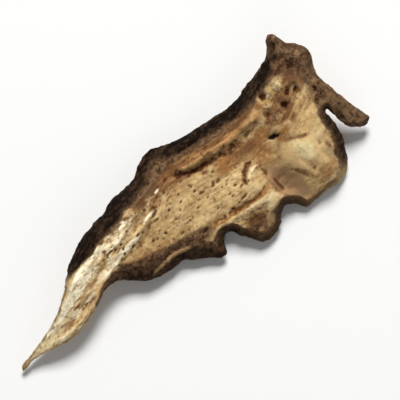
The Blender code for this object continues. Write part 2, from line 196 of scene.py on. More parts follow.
# Ridges and grooves of the upper face: points along the line, half width at its start and at
# its end, what the half width is multiplied by on the line's right side, height
STROKES = [
    # Ridge that runs beside the upper bark, and the groove below it
    ([(1.6, 4.2), (3, 3.3), (5, 2.6), (7.5, 1.9), (10, 1.2)], 0.75, 0.75, 0.8, 0.75),
    ([(10.8, 1.05), (13, 0.6), (16.5, -0.2)], 0.75, 0.85, 0.8, 0.45),
    ([(0.4, 4.2), (1.6, 3.2), (3, 2.3), (5, 1.5), (7, 0.8), (9, 0.2), (11, 0)],
     0.4, 0.6, 1.4, -0.45),
    ([(10.5, 0), (12.5, -0.3), (14.5, -0.7)], 0.5, 0.6, 1.4, -0.18),
    # Raised face of the tail's root, and the crease where it turns down to the body's face
    ([(-18, 3.7), (-12, 4), (-8, 4.4), (-3.5, 5.1)], 1.3, 1.2, 0.8, 0.5),
    ([(-14.5, 1.2), (-10, 1.3), (-6, 2), (-2, 3.9)], 0.7, 0.5, 1.4, -0.3),
    ([(-17, 1.8), (-12, 2.1), (-8, 2.2), (-4.5, 2.9)], 0.5, 0.4, 1, 0.25),
    # Raised upper and lower edges of the tail
    ([(-28, 2.3), (-22, 4.2), (-18, 5.3), (-13, 5.6), (-8, 5.4)], 0.7, 0.7, 1, 0.35),
    ([(-30, 1.8), (-26, 0.6), (-23, 0.4), (-19, 1)], 0.5, 0.5, 1, 0.25),
    # Hook where the body's face ends at the fold, and the lip under it
    ([(6.5, -5.6), (7, -4.2), (7.8, -3.5), (8.8, -3.2), (10.4, -3.5)], 0.35, 0.35, 0.7, -0.22),
    ([(7.7, -4.7), (8.8, -4.2), (10.1, -4.5)], 0.38, 0.38, 1.3, 0.34),
    # Fold between the body and the bulge: crisp on the body's side, open on the bulge's
    ([(9.9, -4), (9.8, -6.5), (9.8, -9.5), (10, -14.6)], 0.8, 2.8, 0.4, -0.75),
    ([(11, -5.6), (12.2, -7.6), (12.9, -9.3), (13.3, -11.2), (13.7, -13)],
     0.6, 0.6, 1, -0.12),
    # Line inside the body's lower edge, and the strip that stands out below it
    ([(-3, -4.3), (0.5, -5.3), (3, -6.2), (5.5, -7), (9, -7.3)], 0.35, 0.45, 1, -0.3),
    ([(0, -6.2), (3, -7.2), (6, -8.1), (9, -8.4)], 0.6, 0.6, 1, 0.25),
    # Streak that stands out of the lower bark
    ([(-12.2, -3.1), (-8, -3.4), (-6, -4.2), (-4.4, -5)], 0.6, 0.6, 1, 0.5),
    # Slit, fine crease and outer groove of the bulge
    ([(13.6, -3.1), (15.2, -3.9)], 0.4, 0.4, 1, -0.8),
    ([(14, -4.6), (15.5, -5.3), (17.5, -6.9)], 0.55, 0.55, 1, -0.22),
    ([(20.4, -8.6), (19.6, -10.2), (19, -11.9)], 0.45, 0.45, 1, -0.5),
    # Furrows that fan out down the bulge
    ([(14.6, -7), (14.7, -9.5), (15, -12.6)], 0.5, 0.6, 1, -0.25),
    ([(18.4, -7.6), (17.6, -10), (16.9, -13)], 0.5, 0.6, 1, -0.3),
]

# Lumps (height above 0) and pits (below 0) of the upper face: x, y, radius, height
LUMPS = [
    (24.6, 5.2, 1.1, 0.7), (25.7, 1.8, 1.5, 0.6), (25.2, -0.8, 1.2, 0.4),
    (24.3, 4.4, 0.7, -0.8), (22.8, 3.5, 0.7, -0.4),
    (17.7, 1.3, 0.7, -0.9), (16.2, -0.7, 0.6, -0.5), (18.8, -1.8, 0.6, -0.4),
    (20.5, -0.9, 0.6, -0.5), (21.6, -1.7, 0.6, -0.5), (23.6, 1.2, 0.6, -0.3),
    (23.6, -3.4, 0.6, -0.4), (22.2, -4.8, 0.6, -0.5),
    (18.6, 1.6, 0.6, 0.35), (20.3, 1.2, 0.7, 0.35), (17, 0, 0.6, 0.3),
    (22.1, -0.4, 0.7, 0.35), (19.8, -1.5, 0.6, 0.3), (22.8, -2.6, 0.7, 0.3),
    (5, 3, 0.6, 0.28), (6.9, 2.3, 0.5, 0.25), (9.3, 1.6, 0.5, 0.22), (12.8, 0.7, 0.6, 0.18),
    (4.2, 2, 0.45, 0.25), (7.1, 1, 0.4, 0.22),
]

# Lowest and highest line of the grain (x, y), and the width between them where it is even
GRAIN_LOW = [(-35, 1.8), (-26, -0.5), (-18, 0.3), (-11, -2.5), (-4, -6.5), (2, -9),
             (9, -12.5), (16, -15.5), (22, -13), (28, -5)]
GRAIN_HIGH = [(-35, 3.4), (-26, 3.6), (-18, 6.3), (-8, 7), (0, 6.8), (8, 4.6),
              (14, 3.4), (22, 4), (28, 4.6)]
GRAIN_WIDTH = 12.0

# Pores that the photograph shows in the body's face, and how many more are strewn over it
PORES = [
    (-12, 1.9), (-11.5, 2.7), (-8, 1.9), (-8, 0), (-7, 0.7), (-6.3, 0.3), (-6, -0.5),
    (-7, -1.9), (-6, -2), (-3.3, -0.7), (-2.8, -2), (-1.8, -2.1), (-1.2, 0.6),
    (0.1, -1.7), (0.7, -1.2), (1.3, 1.3), (2.6, -0.3), (3.5, -1.4), (2.2, -4.1),
]
STREWN_PORES = 190
STREWN_AREA = ((-15.0, 9.0), (-6.5, 4.5))
PORE_RADIUS = 0.17
PORE_LENGTH = 1.7
PORE_DEPTH = 0.16

# Colour strokes of the upper face for each pigment: line, half width at its start and end,
# strength. Some names are masks: mottled, smooth, striped and strip change the grain, hide
# lays bark over the face, in one stroke as painted shade, and bare keeps bark off it.
COLOUR_LINES = {
    "cream": [([(-34, 2.7), (-27, 2.3), (-22, 3.4), (-18, 4.4), (-14, 4.7)], 1.4, 1.2, 1),
        ([(0.5, -6.6), (3, -7.3), (5.5, -7.9), (8.5, -8.5)], 0.5, 0.8, 0.55),
        ([(7.2, -5.1), (8, -4.4), (9, -4.1), (10.3, -4.3)], 0.3, 0.3, 0.85),
        # Painted highlight along the fold's left edge.
        ([(10.5, -5.6), (10.7, -8), (10.8, -11)], 0.2, 0.25, 0.5),
        ([(20.3, -0.5), (20.8, -1), (21.4, -1.1), (22, -0.7), (22.3, -0.2)], 0.32, 0.32, 1.3)],
    "honey": [([(-16, 4.2), (-12, 4.3), (-8.5, 4.3)], 1.1, 0.8, 0.9),
        ([(-21, 1.6), (-17.5, 2.2), (-14, 2.5), (-10, 2.7), (-6, 3.1)], 0.9, 0.7, 1),
        ([(-31, 2), (-26, 1), (-22, 1.2), (-18, 2.4)], 0.8, 0.8, 0.6),
        ([(11.6, 0.2), (13, -0.1), (14.8, -0.5)], 0.7, 0.7, 0.9),
        ([(16.7, -7.8), (16.4, -10), (16.2, -13.5)], 1, 0.7, 0.7)],
    # The tail's upper rim line is pale tissue with a painted highlight; the ridge crest, the lip under
    # the hook and the bulge's rim lip lines are painted highlights.
    "pale": [([(-29, 2.8), (-24, 3.2), (-21, 4.3), (-18.5, 5.1), (-14, 5.2),
          (-11.8, 4.9)], 0.4, 0.6, 1.2),
        ([(-14.5, 4.3), (-11.5, 4), (-8.6, 4.4)], 0.6, 0.55, 0.85),
        ([(-25, 2.7), (-22, 3.5), (-19, 4.1), (-16.5, 4.3), (-14.5, 4.4)], 1, 0.9, 1.05),
        ([(-15.8, 2.9), (-14, 3), (-12.6, 3.2)], 0.5, 0.4, 0.9),
        ([(-29, 1.2), (-26, 0.4), (-23, 0.2)], 0.4, 0.4, 0.7),
        ([(-17.5, 1.9), (-15.5, 2.2), (-12.5, 2.3), (-10.5, 2.1), (-8, 2.1)], 0.6, 0.35, 1.2),
        ([(-7.4, 2.7), (-5.8, 2.8), (-4.2, 2.8)], 0.28, 0.28, 1.2),
        ([(12.5, 0.8), (14, 0.45), (15.2, 0.1)], 0.25, 0.3, 0.5),
        ([(7.9, -4.6), (8.8, -4.2), (9.6, -4.15), (10.4, -4.5)], 0.22, 0.22, 0.6),
        ([(20.9, -8.3), (20.3, -9.6), (19.8, -10.7)], 0.28, 0.28, 0.9)],
    "bare": [([(-21, 4.6), (-18.5, 5.2), (-15, 5.3)], 0.6, 0.5, 1.2)],
    # Brown stains, and painted shade in three strokes: along the fold's left edge, down the bulge's
    # lower right and round the bulge's rim.
    "stain_and_shade": [([(-26, 1.4), (-22, 1.8), (-19, 2.4), (-15, 3.5)], 0.35, 0.3, 0.6),
        ([(-6, 5), (-2, 4.9), (1, 5), (4, 4.2), (7, 3.3), (10, 2.5), (14, 1.9),
          (18, 1.9)], 1.4, 1.2, 1.3),
        ([(-3.5, 3.9), (1, 3.2), (4, 1.8), (8, 0.3), (10.5, -0.5)], 0.8, 0.7, 0.85),
        ([(2.8, 2.6), (5, 1.9), (6.7, 1.3), (10.5, 0.3), (12, 0.1)], 0.45, 0.35, 0.8),
        ([(6.5, -5.6), (7, -4.2), (7.8, -3.6), (8.8, -3.3), (10.4, -3.6)], 0.45, 0.45, 1),
        ([(9.5, -4.8), (9.3, -8), (9.3, -12)], 0.8, 1, 0.72),
        ([(11.3, -10.2), (11.8, -11.8), (12.2, -13.8)], 1.2, 2.2, 0.55),
        ([(12.3, -7.6), (13.2, -9.6), (13.6, -11.8)], 0.4, 0.6, 0.62),
        ([(18.9, -8), (18.7, -10), (18, -12.9)], 0.45, 0.9, 0.6),
        ([(14.6, -4.9), (15.6, -5.45), (17.3, -6.7), (18.8, -7.8)], 0.4, 0.5, 0.68),
        ([(22.4, -6.4), (21.4, -9.6), (19.8, -12), (17, -14.6)], 0.8, 1.1, 1.1)],
    # Dark marks, mostly painted shade: in the groove below the ridge, the slits, the crown's clefts and
    # the upper band, and painted shadow along the tail's edges.
    "dark": [([(-23, 5), (-20.7, 6.2), (-18.5, 7), (-16, 7.3)], 0.3, 0.6, 0.9),
        ([(0.4, 4.2), (1.6, 3.2), (3, 2.3)], 0.22, 0.2, 0.45),
        ([(3, 2.3), (5, 1.5), (7, 0.8)], 0.16, 0.16, 0.4),
        ([(7.2, 0.6), (8.4, 0.2), (10.2, 0.15), (11.4, 0)], 0.28, 0.24, 0.75),
        ([(21.7, 3.6), (23, 3.6), (24.3, 4)], 0.4, 0.3, 0.9),
        ([(24, 4.1), (24.7, 5.2)], 0.2, 0.25, 0.5),
        ([(25.4, -0.6), (26.2, 0.8), (26.3, 2.4), (25.4, 3.6)], 0.3, 0.3, 0.45),
        ([(13.2, -2.95), (15.7, -4.15)], 0.3, 0.28, 1.25),
        ([(19.7, -10.9), (19.1, -12)], 0.25, 0.25, 0.6),
        ([(-6.5, 6.4), (-3, 6.2), (0, 6.4)], 0.55, 0.55, 0.62),
        ([(-19, 0.5), (-17, 0.9), (-15.5, 0.4), (-13.5, -0.9), (-12.5, -2)], 0.3, 0.6, 0.65)],
    "amber": [([(1.6, 4.1), (3, 3.3), (5, 2.6), (7.5, 1.95), (10, 1.25), (13, 0.75),
          (17, -0.1)], 0.4, 0.65, 1),
        ([(1.5, 5.1), (5, 4), (8, 2.95), (11, 2.1)], 0.28, 0.25, 0.7),
        ([(8.5, 2.2), (11, 1.5), (13.5, 0.9), (15.5, 0.3)], 0.45, 0.55, 0.8)],
    "warm": [([(-2, -4.8), (0.8, -5.9), (3, -6.5), (5.5, -7.2), (7.4, -7.5),
          (10, -7.1)], 0.3, 0.5, 0.85),
        ([(12.6, -8), (13.3, -9.8), (13.8, -11.2), (14.2, -13.2)], 0.6, 0.6, 0.6),
        ([(14.3, -9.2), (14.5, -12.8)], 0.5, 0.7, 0.55),
        ([(13.6, -4.4), (15.5, -5.4), (17.2, -6.6), (18.7, -7.8)], 0.5, 0.5, 0.62)],
    "mauve": [([(10.1, -4.6), (10.5, -6.5), (10.8, -8.5), (11.1, -11),
          (11.6, -14.5)], 0.8, 2.3, 1.5)],
    "rust": [([(11.5, -6.4), (12.4, -8.2), (13.1, -10), (13.5, -12)], 0.3, 0.4, 0.58),
        ([(9.5, 0.8), (12, 0.3), (15, -0.4)], 0.24, 0.22, 0.6)],
    "hide_and_shade": [([(25.4, 4), (24.6, -2), (24.1, -5), (24.1, -9), (24.6, -18)], 1.9, 1.9, 1.2),
        ([(-8, 7.2), (-2, 6.4), (2, 6.2), (6, 4.9), (10, 3.6), (16, 2.8), (23, 2.8)], 1.2, 1.2, 1.1),
        ([(-15.5, 0.2), (-12, -1), (-10, -1.8), (-7, -3.2), (-4, -4.2), (-1.5, -5.1),
          (0, -6.2)], 1.2, 1.1, 1.2),
        # Bark brown along the tail's lower edge as painted shade.
        ([(-21, 0.1), (-19, 0.5), (-17, 1.1), (-15, 0.9), (-13.5, 0)], 0.35, 0.8, 1.3)],
    "grey": [([(-7, 5.5), (-3, 5.4), (0.5, 5.8)], 0.8, 0.8, 0.75)],
    "scuff": [([(-12.4, -3), (-8, -3.3), (-6, -4.2), (-4.4, -5)], 0.4, 0.4, 0.8)],
    "striped": [([(-36, 2.7), (-26, 2), (-18, 3.6), (-10, 4), (-6, 4.1)], 2.4, 1.4, 1.3)],
    "mottled": [([(-26, 2), (-18, 3.6), (-12, 4.2), (-8, 4.4)], 0.9, 0.9, 0.28),
        ([(-9, 5), (-5, 4.9), (-1, 5.6)], 1.3, 1.3, 1),
        ([(-13, -0.6), (-9.5, -2), (-5.5, -3.6), (-1, -5.2)], 0.9, 0.9, 0.55)],
}

# Colour patches of the upper face for each pigment: x, y, half length, half width, turn,
# strength
COLOUR_PATCHES = {
    "cream": [(3.4, -2.6, 5.4, 2.4, -10, 0.3), (7, -5.8, 1.8, 1, 0, 0.45),
        (19, -8, 1.8, 1.4, 0, 0.45), (7.4, -9, 1.7, 1.2, 0, 0.65), (18.4, 1, 0.35, 0.8, -10, 0.9),
        (-3.4, 4.1, 1.2, 0.35, 0, 0.8), (19.9, 0.7, 0.9, 0.7, 0, 0.9), (17.1, -0.1, 0.7, 0.4, 0, 0.6),
        (21.6, -4.4, 1, 0.8, 0, 0.4)],
    # The second and third patches paint light on the bulge's dome and its left side.
    "honey": [(4.8, -3.9, 2.4, 1.8, -20, 0.55), (16.2, -8.8, 2.8, 3.4, 0, 1.1),
        (14.2, -8, 1.6, 3, 0, 1.1), (12.6, -7.6, 1, 1.4, 0, 0.6), (4.2, 1.9, 0.5, 0.3, -30, 0.7),
        (7.1, 1, 0.45, 0.28, -30, 0.6), (5, 3.1, 0.8, 0.4, -25, 0.85), (7, 2.3, 0.7, 0.35, -20, 0.85),
        (9.3, 1.6, 0.6, 0.3, -20, 0.8), (12.2, 0.9, 0.8, 0.35, -15, 0.7)],
    "stain_and_shade": [(9.2, -5.6, 1.2, 2, 0, 0.4), (-11.6, -0.1, 1.8, 0.7, -14, 0.55),
        (20.4, -3.6, 2.8, 1.6, 0, 0.45), (4.2, 0.8, 0.8, 0.5, -20, 0.75),
        (18.3, -3.5, 1.3, 0.8, -35, 0.8), (15.9, -1.4, 1.2, 0.7, 0, 1), (0, 3.8, 2.6, 1.6, -15, 0.8),
        (10, -1.4, 3.6, 1.4, -5, 0.85), (12, -3.2, 1.8, 1.2, 0, 0.5), (17.8, -2.3, 2.6, 1.4, -10, 1.05),
        (10.4, 1, 1.5, 0.6, -14, 0.5), (9.8, -0.6, 2.3, 0.8, -8, 1), (22.6, 0, 1.8, 2.2, 0, 0.95),
        (-3.4, 3.6, 1.8, 1, 20, 0.75), (3.6, -9.6, 2.2, 1.7, 0, 1), (-5, 4.9, 2.6, 1.1, 12, 0.75),
        (-22.4, 2.2, 1, 0.45, 0, 0.9), (-20.2, 1.6, 1.1, 0.55, 10, 0.9),
        (-10.8, 5.4, 0.6, 0.35, 0, 1.1), (-8, 5, 0.6, 0.35, 0, 1.1), (19.4, -1, 3.8, 1.6, 0, 0.75),
        (9.6, -4.2, 1.2, 0.8, 0, 0.62), (9.7, -10.4, 0.9, 1.2, 0, 0.85)],
    # Painted highlight on the bulge's dome.
    "butter": [(15.9, -8, 1.6, 2.4, 14, 0.78)],
    "pale": [(-2.2, 4.3, 0.7, 0.3, 8, 1), (-9.2, 5, 0.9, 0.5, -8, 1.25)],
    "warm": [(16.3, 0.9, 0.9, 0.6, 0, 0.8), (-9.5, -0.7, 5, 1.3, -14, 0.6),
        (11.6, -4.2, 2.4, 1.8, 0, 0.7), (7.3, -0.9, 2.2, 1.3, 0, 1), (19.4, 0.2, 3.5, 1.6, 0, 0.5),
        (15.5, -12.5, 2.6, 1.6, 0, 0.6), (12.5, -2.2, 4.5, 1.3, 0, 0.75), (15.6, -4.2, 2, 0.9, 0, 0.8)],
    # Painted shade at the groove's start, in pits and at the foot of the side strip.
    "dark": [(1.9, 3.2, 0.45, 0.3, -40, 0.8), (3.3, 2.3, 0.5, 0.28, -30, 0.8),
        (0.9, 3.8, 0.55, 0.3, -45, 0.5), (24.6, -12.6, 1.6, 1.2, 0, 0.8),
        (17.6, 1.6, 0.45, 0.4, 0, 0.9), (16.3, -0.7, 0.4, 0.3, 0, 0.6)],
    "hide_and_shade": [(22.3, -5.9, 1, 0.9, 0, 1.1), (25.6, 2, 4, 4.4, 0, 1), (24, -3.4, 1.5, 2, 0, 0.9),
        (22.4, 2.7, 2.6, 1.4, 0, 1.1), (0.5, 6.6, 3.2, 1.6, 0, 0.9), (2.8, -10.8, 2.2, 1.7, 0, 0.75)],
    "mottled": [(19.5, -0.8, 4.6, 2.2, 0, 0.75), (3.8, -9.4, 2.8, 2.2, 0, 0.85),
        (-10, 1, 5, 2, 0, 0.3), (22.4, -4.2, 1.2, 1.6, 0, 0.6)],
    "mauve": [(17, -2, 2, 0.8, -20, 0.6), (8.2, -3.9, 1.1, 0.5, 20, 0.35)],
    "grey": [(9.5, 3.1, 1.6, 0.7, -22, 1.2), (0, 7.2, 3, 1.2, 0, 0.7)],
    "smooth": [(16.5, -8.6, 4.2, 4.6, 0, 1.2), (11.2, -9.5, 2, 6, 0, 1.2)],
    "strip": [(24, -8, 3, 6.4, 0, 1.2)],
    "scuff": [(5.2, -11, 1.2, 0.6, 20, 0.9), (3.4, -10.6, 0.5, 0.4, 0, 0.8),
        (25.3, 5.5, 0.5, 0.4, 0, 0.6), (25.4, 1.6, 0.9, 0.7, 0, 0.5), (24, -2.9, 1, 0.8, 0, 0.6)],
    "rust": [(24.9, 5.9, 0.6, 0.3, 20, 0.8), (22.3, 2.1, 0.6, 0.25, 20, 1),
        (23.3, 1.4, 0.5, 0.3, 30, 1.1), (24, 0.1, 0.5, 0.25, 20, 1), (26.6, 0.3, 0.4, 0.5, 0, 1),
        (20.3, -0.9, 0.45, 0.3, -40, 1.1), (21.5, -1.4, 0.6, 0.3, 30, 1.1),
        (18.8, -1.6, 0.55, 0.4, 0, 1.1), (24.5, -3.4, 0.4, 0.25, 20, 0.9),
        (25.3, 3.2, 0.5, 0.25, 50, 0.7)],
}


def srgb(red, green, blue):
    """A linear colour from 0 to 255 screen values."""
    values = [value / 255.0 for value in (red, green, blue)]
    return tuple(v / 12.92 if v <= 0.04045 else ((v + 0.055) / 1.055) ** 2.4 for v in values) + (1.0,)


# The shade colour and most dark marks are painted shade, soot is dark bark with painted shade, butter
# is a painted highlight, and dust also paints a highlight on bark crests.
COLOURS = {
    "tan": srgb(187, 156, 106), "tan dark": srgb(160, 126, 82), "cream": srgb(226, 205, 158),
    "pale": srgb(250, 236, 200), "honey": srgb(222, 187, 132), "butter": srgb(252, 232, 176),
    "amber": srgb(178, 135, 86), "warm": srgb(146, 102, 58), "stain_and_shade": srgb(112, 77, 48),
    "mauve": srgb(156, 124, 91), "grey": srgb(84, 68, 56), "umber": srgb(80, 52, 34),
    "dark": srgb(26, 17, 11), "bark": srgb(102, 77, 54), "bark low": srgb(48, 34, 24),
    "dark_bark_and_shade": srgb(18, 11, 7), "dust_and_sheen": srgb(122, 96, 69), "shade": srgb(144, 109, 86),
    "rust": srgb(74, 41, 20), "scuff": srgb(150, 120, 84), "floor": srgb(226, 226, 225),
}


def mix(start, end, t_start, t_end, t):
    """The point between two others at the knot value t."""
    share = (t - t_start) / (t_end - t_start)
    return start * (1.0 - share) + end * share


def closed_curve(points, spacing):
    """A smooth closed curve through the points, and the index of each sample's point."""
    points = np.array(points, dtype=float)
    samples = []
    owners = []
    for i in range(len(points)):
        p0, p1, p2, p3 = (points[(i + k) % len(points)] for k in (-1, 0, 1, 2))
        gaps = [math.sqrt(math.dist(a, b)) for a, b in ((p0, p1), (p1, p2), (p2, p3))]
        knots = np.cumsum([0.0] + gaps)
        steps = max(1, round(math.dist(p1, p2) / spacing))
        for step in range(steps):
            t = knots[1] + (knots[2] - knots[1]) * step / steps
            a1 = mix(p0, p1, knots[0], knots[1], t)
            a2 = mix(p1, p2, knots[1], knots[2], t)
            a3 = mix(p2, p3, knots[2], knots[3], t)
            b1 = mix(a1, a2, knots[0], knots[2], t)
            b2 = mix(a2, a3, knots[1], knots[3], t)
            samples.append(mix(b1, b2, knots[1], knots[2], t))
            owners.append(i)
    return np.array(samples), np.array(owners)


def smooth_along(values, reach):
    """Averages values round a closed line over a number of neighbours each way."""
    return sum(np.roll(values, k, axis=0) for k in range(-reach, reach + 1)) / (2 * reach + 1)


def smooth_step(low, high, values):
    """0 below low, 1 above high, with a soft change between them."""
    share = np.clip((values - low) / (high - low), 0.0, 1.0)
    return share * share * (3.0 - 2.0 * share)


def noise_values(points, scales, seed, octaves=1):
    """Smooth noise, about -1 to 1, at points stretched by scales."""
    spread = points * np.array(scales)
    if octaves == 1:
        return np.array([noise.noise(Vector((x, y, seed))) for x, y in spread])
    return np.array([noise.fractal(Vector((x, y, seed)), 0.9, 2.0, octaves) for x, y in spread])


def wander(points, scale, seeds):
    """A smooth shift at each point, which makes lines and edges waver."""
    return np.column_stack([noise_values(points, (scale, scale), seed) for seed in seeds])


def outward_normals(rim):
    """Unit normals of a closed rim that runs anticlockwise."""
    tangent = np.roll(rim, -1, axis=0) - np.roll(rim, 1, axis=0)
    outward = np.column_stack([tangent[:, 1], -tangent[:, 0]])
    return outward / np.linalg.norm(outward, axis=1)[:, None]


def rim_distances(points, rim):
    """Distances of every point from all points of the rim, a few thousand points at a time."""
    for start in range(0, len(points), CHUNK):
        part = points[start:start + CHUNK]
        yield np.linalg.norm(part[:, None, :] - rim[None, :, :], axis=2)


def spline_surface(spots):
    """A thin-plate surface through height spots, as a function of an array of points."""
    spots = np.array(spots, dtype=float)
    places = spots[:, :2]
    count = len(spots)

    def kernel(points):
        squared = ((points[:, None, :] - places[None, :, :]) ** 2).sum(axis=2)
        return squared * np.log(squared + 1e-9)

    system = np.zeros((count + 3, count + 3))
    system[:count, :count] = kernel(places)
    system[:count, count:] = np.column_stack([np.ones(count), places])
    system[count:, :count] = system[:count, count:].T
    weights = np.linalg.solve(system, np.append(spots[:, 2], np.zeros(3)))

    def height(points):
        plane = weights[count] + points @ weights[count + 1:]
        return kernel(points) @ weights[:count] + plane

    return height


def stroke_height(points, line, start_width, end_width, right_share, height):
    """Height that a ridge or groove adds. It fades out over its ends."""
    line = np.array(line)
    lengths = np.linalg.norm(np.diff(line, axis=0), axis=1)
    starts = np.concatenate([[0.0], np.cumsum(lengths)])
    nearest = np.full(len(points), np.inf)
    along = np.zeros(len(points))
    on_right = np.zeros(len(points), dtype=bool)
    for a, b, length, start in zip(line[:-1], line[1:], lengths, starts):
        share = np.clip((points - a) @ (b - a) / length ** 2, 0.0, 1.0)
        away = points - a - share[:, None] * (b - a)
        distance = np.linalg.norm(away, axis=1)
        closer = distance < nearest
        rightward = np.array([b[1] - a[1], a[0] - b[0]])
        nearest = np.where(closer, distance, nearest)
        along = np.where(closer, start + share * length, along)
        on_right = np.where(closer, away @ rightward > 0.0, on_right)
    half_width = start_width + (end_width - start_width) * along / starts[-1]
    to_end = np.minimum(along, starts[-1] - along) / half_width
    fade = np.clip(to_end / STROKE_TAPER + STROKE_END, 0.0, 1.0)
    half_width = np.where(on_right, right_share * half_width, half_width)
    return height * fade * np.exp(-(nearest / half_width) ** 2)


def lump_height(points, x, y, radius, height):
    """Height that a round lump or pit adds."""
    squared = ((points - (x, y)) ** 2).sum(axis=1)
    return height * np.exp(-squared / radius ** 2)


class Slice:
    """The outline, the two faces and the bark wall, in millimetres."""

    def __init__(self):
        raw_points = [point for stretch in OUTLINE for point in stretch[6]]
        walls = [stretch[1:6] for stretch in OUTLINE for _ in stretch[6]]
        plain_rim, _ = closed_curve(raw_points, CAD_RIM_SPACING)
        low = plain_rim.min(axis=0)
        high = plain_rim.max(axis=0)
        self.middle = (low + high) / 2.0
        self.scale = (CAD_BOX[1].x - CAD_BOX[0].x) / (high[0] - low[0])
        rim, owners = closed_curve(raw_points, RIM_SPACING)
        steps = np.linalg.norm(np.roll(rim, -1, axis=0) - rim, axis=1)
        self.along = np.concatenate([[0.0], np.cumsum(steps)[:-1]])
        self.rim = ragged(rim, self.along)
        self.upper_surface = spline_surface(FACE_HEIGHTS)
        self.under_surface = spline_surface(UNDER_HEIGHTS)
        values = smooth_along(np.array(walls)[owners], round(BLEND_LENGTH / RIM_SPACING))
        rim_share, self.upper_width, self.under_width, self.bark, self.dark_bark_and_shade = values.T
        thickness = self.face(self.rim) - self.under_face(self.rim)
        self.drop = (1.0 - rim_share) * thickness
        self.lift = rim_share * thickness

    def face(self, points):
        """The upper cut face with its ridges, grooves, lumps and pits."""
        height = self.upper_surface(points)
        height += WRINKLE_HEIGHT * noise_values(points, WRINKLE_SCALE, WRINKLE_SEED)
        moved = points + STROKE_WANDER * wander(points, 0.6, seeds=(51.0, 52.0))
        uneven = 1.0 + STROKE_UNEVEN * noise_values(points, (0.7, 0.7), seed=53.0)
        for line, *widths, depth in STROKES:
            height += uneven * stroke_height(moved, line, *widths, depth)
        for x, y, radius, lump in LUMPS:
            height += lump_height(points, x, y, radius, lump)
        return height

    def under_face(self, points):
        """The lower cut face before it is cut flat at the ground."""
        wrinkles = WRINKLE_HEIGHT * noise_values(points + UNDER_SHIFT, WRINKLE_SCALE, WRINKLE_SEED)
        return self.under_surface(points) + wrinkles

    def wall(self, points, depth, width):
        """What the wall takes off a face, the nearest rim point, and the share of the width."""
        taken = []
        nearest = []
        share = []
        for distance in rim_distances(points, self.rim):
            away = distance / width
            clipped = np.minimum(away, 1.0)
            taken.append((depth * (1.0 - clipped ** WALL_POWER)).max(axis=1))
            nearest.append(away.argmin(axis=1))
            share.append(away.min(axis=1))
        return np.concatenate(taken), np.concatenate(nearest), np.concatenate(share)


def smoothed(values, first, second, degree, rounds):
    """Averages each vertex's values with its neighbours', over and over."""
    values = values.astype(float)
    for _ in range(rounds):
        total = np.zeros_like(values)
        for column in range(values.shape[1]):
            total[:, column] = np.bincount(first, values[second, column], len(values))
        values = 0.5 * values + 0.5 * total / degree[:, None]
    return values


def cavities(places, faces, normals, rounds):
    """How far each vertex lies below the mean of what surrounds it, for each count of rounds."""
    edges = np.concatenate([faces[:, [0, 1]], faces[:, [1, 2]], faces[:, [2, 0]]])
    edges = np.unique(np.sort(edges, axis=1), axis=0)
    first = np.concatenate([edges[:, 0], edges[:, 1]])
    second = np.concatenate([edges[:, 1], edges[:, 0]])
    degree = np.bincount(first, minlength=len(places)).astype(float)
    depths = []
    moved = places
    done = 0
    for count in rounds:
        moved = smoothed(moved, first, second, degree, count - done)
        done = count
        depths.append(((moved - places) * normals).sum(axis=1))
    return depths


def ragged(rim, along):
    """Moves a smooth rim in and out a little, as torn bark does."""
    turn = along / along[-1] * 2.0 * math.pi
    ring = np.column_stack([np.cos(turn), np.sin(turn)]) * along[-1] / (2.0 * math.pi)
    tears = sum(height * noise_values(ring, (scale, scale), seed)
                for scale, seed, height in RIM_TEARS)
    return rim + outward_normals(rim) * (tears - RIM_INSET)[:, None]


def wall_points(shape, widths):
    """Rows of points along the wall, so that its crest and its foot come out clean."""
    inward = -outward_normals(shape.rim)
    rows = []
    for step in WALL_STEPS:
        row = shape.rim + inward * (widths * step)[:, None]
        away = [distance.min(axis=1) for distance in rim_distances(row, shape.rim)]
        rows.append(row[np.concatenate(away) > ROW_CLEARANCE * widths * step])
    return np.concatenate(rows)


def grid_points(low, high, spacing):
    """Points on a triangular grid over a box."""
    rows = np.arange(low[1], high[1], spacing * math.sqrt(0.75))
    columns = np.arange(low[0], high[0], spacing)
    return np.array([(x + spacing / 2 * (j % 2), y) for j, y in enumerate(rows) for x in columns])


def inside(points, rim):
    """Which points lie inside the closed rim."""
    x, y = points[:, 0], points[:, 1]
    crossings = np.zeros(len(points), dtype=bool)
    for (x1, y1), (x2, y2) in zip(rim, np.roll(rim, -1, axis=0)):
        spans = (y1 > y) != (y2 > y)
        height = y2 - y1 if y2 != y1 else 1.0
        crossings ^= spans & (x < x1 + (x2 - x1) * (y - y1) / height)
    return crossings


def sheet(shape, widths, spacing):
    """A flat triangle mesh of the outline: its points and its triangles, rim points first."""
    grid = grid_points(shape.rim.min(axis=0), shape.rim.max(axis=0), spacing)
    grid = grid[inside(grid, shape.rim)]
    _, nearest, share = shape.wall(grid, shape.drop, widths)
    grid = grid[share * widths[nearest] > GRID_CLEARANCE * spacing]
    rows = wall_points(shape, widths)
    rows = rows[inside(rows, shape.rim)]
    count = len(shape.rim)
    flat = [Vector(point) for point in np.concatenate([shape.rim, rows, grid])]
    edges = [(i, (i + 1) % count) for i in range(count)]
    _, _, faces, origins, _, _ = delaunay_2d_cdt(flat, edges, [], 1, 1e-5)
    order = np.array([origin[0] for origin in origins])
    return np.array([tuple(point) for point in flat]), order[np.array(faces)]


